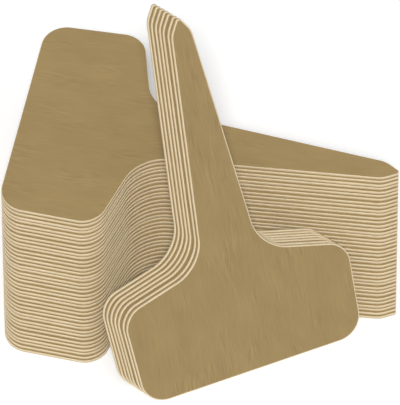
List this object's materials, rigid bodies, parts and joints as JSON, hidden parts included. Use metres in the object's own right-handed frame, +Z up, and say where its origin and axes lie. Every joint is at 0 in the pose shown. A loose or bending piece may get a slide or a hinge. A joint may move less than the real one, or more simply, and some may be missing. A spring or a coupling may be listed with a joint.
{
  "type": "plant label stake",
  "caption": "Loose set of flat T-shaped wooden plant labels with long tapered stems, most stacked flat and some leaning against the stack.",
  "frame": {"origin": "middle of the set's bounding box, on the surface that the set stands on", "axes": "+X along the stacked stakes from their heads to their points, +Z up, and the leaning stakes stand on the -Y side of the stack"},
  "size_m": [0.104, 0.0906, 0.0854],
  "materials": {
    "stained_wood": "fine-brushed brown face with pale raw edges"
  },
  "bodies": {
    "stack_stake_01": {"stack_stake_01": "stained_wood"},
    "stack_stake_02": {"stack_stake_02": "stained_wood"},
    "stack_stake_03": {"stack_stake_03": "stained_wood"},
    "stack_stake_04": {"stack_stake_04": "stained_wood"},
    "stack_stake_05": {"stack_stake_05": "stained_wood"},
    "stack_stake_06": {"stack_stake_06": "stained_wood"},
    "stack_stake_07": {"stack_stake_07": "stained_wood"},
    "stack_stake_08": {"stack_stake_08": "stained_wood"},
    "stack_stake_09": {"stack_stake_09": "stained_wood"},
    "stack_stake_10": {"stack_stake_10": "stained_wood"},
    "stack_stake_11": {"stack_stake_11": "stained_wood"},
    "stack_stake_12": {"stack_stake_12": "stained_wood"},
    "stack_stake_13": {"stack_stake_13": "stained_wood"},
    "stack_stake_14": {"stack_stake_14": "stained_wood"},
    "stack_stake_15": {"stack_stake_15": "stained_wood"},
    "stack_stake_16": {"stack_stake_16": "stained_wood"},
    "stack_stake_17": {"stack_stake_17": "stained_wood"},
    "stack_stake_18": {"stack_stake_18": "stained_wood"},
    "stack_stake_19": {"stack_stake_19": "stained_wood"},
    "stack_stake_20": {"stack_stake_20": "stained_wood"},
    "stack_stake_21": {"stack_stake_21": "stained_wood"},
    "stack_stake_22": {"stack_stake_22": "stained_wood"},
    "stack_stake_23": {"stack_stake_23": "stained_wood"},
    "stack_stake_24": {"stack_stake_24": "stained_wood"},
    "stack_stake_25": {"stack_stake_25": "stained_wood"},
    "stack_stake_26": {"stack_stake_26": "stained_wood"},
    "stack_stake_27": {"stack_stake_27": "stained_wood"},
    "stack_stake_28": {"stack_stake_28": "stained_wood"},
    "stack_stake_29": {"stack_stake_29": "stained_wood"},
    "stack_stake_30": {"stack_stake_30": "stained_wood"},
    "stack_stake_31": {"stack_stake_31": "stained_wood"},
    "stack_stake_32": {"stack_stake_32": "stained_wood"},
    "stack_stake_33": {"stack_stake_33": "stained_wood"},
    "stack_stake_34": {"stack_stake_34": "stained_wood"},
    "stack_stake_35": {"stack_stake_35": "stained_wood"},
    "stack_stake_36": {"stack_stake_36": "stained_wood"},
    "stack_stake_37": {"stack_stake_37": "stained_wood"},
    "stack_stake_38": {"stack_stake_38": "stained_wood"},
    "stack_stake_39": {"stack_stake_39": "stained_wood"},
    "leaning_stake_1": {"leaning_stake_1": "stained_wood"},
    "leaning_stake_2": {"leaning_stake_2": "stained_wood"},
    "leaning_stake_3": {"leaning_stake_3": "stained_wood"},
    "leaning_stake_4": {"leaning_stake_4": "stained_wood"},
    "leaning_stake_5": {"leaning_stake_5": "stained_wood"},
    "leaning_stake_6": {"leaning_stake_6": "stained_wood"},
    "leaning_stake_7": {"leaning_stake_7": "stained_wood"}
  },
  "joints": [
    {"name": "leaning_lift_1", "type": "slide", "parent": "stack_stake_01", "child": "leaning_stake_1", "axis": [-0.4829, 0.295, 0.8245], "range_m": [0, 0.1]},
    {"name": "leaning_lift_2", "type": "slide", "parent": "stack_stake_01", "child": "leaning_stake_2", "axis": [-0.4829, 0.295, 0.8245], "range_m": [0, 0.1]},
    {"name": "leaning_lift_3", "type": "slide", "parent": "stack_stake_01", "child": "leaning_stake_3", "axis": [-0.4829, 0.295, 0.8245], "range_m": [0, 0.1]},
    {"name": "leaning_lift_4", "type": "slide", "parent": "stack_stake_01", "child": "leaning_stake_4", "axis": [-0.4829, 0.295, 0.8245], "range_m": [0, 0.1]},
    {"name": "leaning_lift_5", "type": "slide", "parent": "stack_stake_01", "child": "leaning_stake_5", "axis": [-0.4829, 0.295, 0.8245], "range_m": [0, 0.1]},
    {"name": "leaning_lift_6", "type": "slide", "parent": "stack_stake_01", "child": "leaning_stake_6", "axis": [-0.4829, 0.295, 0.8245], "range_m": [0, 0.1]},
    {"name": "leaning_lift_7", "type": "slide", "parent": "stack_stake_01", "child": "leaning_stake_7", "axis": [-0.4829, 0.295, 0.8245], "range_m": [0, 0.1]},
    {"name": "stack_draw_39", "type": "slide", "parent": "stack_stake_01", "child": "stack_stake_39", "axis": [-1, 0, 0], "range_m": [0, 0.1]},
    {"name": "stack_draw_38", "type": "slide", "parent": "stack_stake_01", "child": "stack_stake_38", "axis": [-1, 0, 0], "range_m": [0, 0.1]},
    {"name": "stack_draw_37", "type": "slide", "parent": "stack_stake_01", "child": "stack_stake_37", "axis": [-1, 0, 0], "range_m": [0, 0.1]},
    {"name": "stack_draw_36", "type": "slide", "parent": "stack_stake_01", "child": "stack_stake_36", "axis": [-1, 0, 0], "range_m": [0, 0.1]},
    {"name": "stack_draw_35", "type": "slide", "parent": "stack_stake_01", "child": "stack_stake_35", "axis": [-1, 0, 0], "range_m": [0, 0.1]},
    {"name": "stack_draw_34", "type": "slide", "parent": "stack_stake_01", "child": "stack_stake_34", "axis": [-1, 0, 0], "range_m": [0, 0.1]},
    {"name": "stack_draw_33", "type": "slide", "parent": "stack_stake_01", "child": "stack_stake_33", "axis": [-1, 0, 0], "range_m": [0, 0.1]},
    {"name": "stack_draw_32", "type": "slide", "parent": "stack_stake_01", "child": "stack_stake_32", "axis": [-1, 0, 0], "range_m": [0, 0.1]},
    {"name": "stack_draw_31", "type": "slide", "parent": "stack_stake_01", "child": "stack_stake_31", "axis": [-1, 0, 0], "range_m": [0, 0.1]},
    {"name": "stack_draw_30", "type": "slide", "parent": "stack_stake_01", "child": "stack_stake_30", "axis": [-1, 0, 0], "range_m": [0, 0.1]},
    {"name": "stack_draw_29", "type": "slide", "parent": "stack_stake_01", "child": "stack_stake_29", "axis": [-1, 0, 0], "range_m": [0, 0.1]},
    {"name": "stack_draw_28", "type": "slide", "parent": "stack_stake_01", "child": "stack_stake_28", "axis": [-1, 0, 0], "range_m": [0, 0.1]},
    {"name": "stack_draw_27", "type": "slide", "parent": "stack_stake_01", "child": "stack_stake_27", "axis": [-1, 0, 0], "range_m": [0, 0.1]},
    {"name": "stack_draw_26", "type": "slide", "parent": "stack_stake_01", "child": "stack_stake_26", "axis": [-1, 0, 0], "range_m": [0, 0.1]},
    {"name": "stack_draw_25", "type": "slide", "parent": "stack_stake_01", "child": "stack_stake_25", "axis": [-1, 0, 0], "range_m": [0, 0.1]},
    {"name": "stack_draw_24", "type": "slide", "parent": "stack_stake_01", "child": "stack_stake_24", "axis": [-1, 0, 0], "range_m": [0, 0.1]},
    {"name": "stack_draw_23", "type": "slide", "parent": "stack_stake_01", "child": "stack_stake_23", "axis": [-1, 0, 0], "range_m": [0, 0.1]},
    {"name": "stack_draw_22", "type": "slide", "parent": "stack_stake_01", "child": "stack_stake_22", "axis": [-1, 0, 0], "range_m": [0, 0.1]},
    {"name": "stack_draw_21", "type": "slide", "parent": "stack_stake_01", "child": "stack_stake_21", "axis": [-1, 0, 0], "range_m": [0, 0.1]},
    {"name": "stack_draw_20", "type": "slide", "parent": "stack_stake_01", "child": "stack_stake_20", "axis": [-1, 0, 0], "range_m": [0, 0.1]},
    {"name": "stack_draw_19", "type": "slide", "parent": "stack_stake_01", "child": "stack_stake_19", "axis": [-1, 0, 0], "range_m": [0, 0.1]},
    {"name": "stack_draw_18", "type": "slide", "parent": "stack_stake_01", "child": "stack_stake_18", "axis": [-1, 0, 0], "range_m": [0, 0.1]},
    {"name": "stack_draw_17", "type": "slide", "parent": "stack_stake_01", "child": "stack_stake_17", "axis": [-1, 0, 0], "range_m": [0, 0.1]},
    {"name": "stack_draw_16", "type": "slide", "parent": "stack_stake_01", "child": "stack_stake_16", "axis": [-1, 0, 0], "range_m": [0, 0.1]},
    {"name": "stack_draw_15", "type": "slide", "parent": "stack_stake_01", "child": "stack_stake_15", "axis": [-1, 0, 0], "range_m": [0, 0.1]},
    {"name": "stack_draw_14", "type": "slide", "parent": "stack_stake_01", "child": "stack_stake_14", "axis": [-1, 0, 0], "range_m": [0, 0.1]},
    {"name": "stack_draw_13", "type": "slide", "parent": "stack_stake_01", "child": "stack_stake_13", "axis": [-1, 0, 0], "range_m": [0, 0.1]},
    {"name": "stack_draw_12", "type": "slide", "parent": "stack_stake_01", "child": "stack_stake_12", "axis": [-1, 0, 0], "range_m": [0, 0.1]},
    {"name": "stack_draw_11", "type": "slide", "parent": "stack_stake_01", "child": "stack_stake_11", "axis": [-1, 0, 0], "range_m": [0, 0.1]},
    {"name": "stack_draw_10", "type": "slide", "parent": "stack_stake_01", "child": "stack_stake_10", "axis": [-1, 0, 0], "range_m": [0, 0.1]},
    {"name": "stack_draw_09", "type": "slide", "parent": "stack_stake_01", "child": "stack_stake_09", "axis": [-1, 0, 0], "range_m": [0, 0.1]},
    {"name": "stack_draw_08", "type": "slide", "parent": "stack_stake_01", "child": "stack_stake_08", "axis": [-1, 0, 0], "range_m": [0, 0.1]},
    {"name": "stack_draw_07", "type": "slide", "parent": "stack_stake_01", "child": "stack_stake_07", "axis": [-1, 0, 0], "range_m": [0, 0.1]},
    {"name": "stack_draw_06", "type": "slide", "parent": "stack_stake_01", "child": "stack_stake_06", "axis": [-1, 0, 0], "range_m": [0, 0.1]},
    {"name": "stack_draw_05", "type": "slide", "parent": "stack_stake_01", "child": "stack_stake_05", "axis": [-1, 0, 0], "range_m": [0, 0.1]},
    {"name": "stack_draw_04", "type": "slide", "parent": "stack_stake_01", "child": "stack_stake_04", "axis": [-1, 0, 0], "range_m": [0, 0.1]},
    {"name": "stack_draw_03", "type": "slide", "parent": "stack_stake_01", "child": "stack_stake_03", "axis": [-1, 0, 0], "range_m": [0, 0.1]},
    {"name": "stack_draw_02", "type": "slide", "parent": "stack_stake_01", "child": "stack_stake_02", "axis": [-1, 0, 0], "range_m": [0, 0.1]}
  ]
}
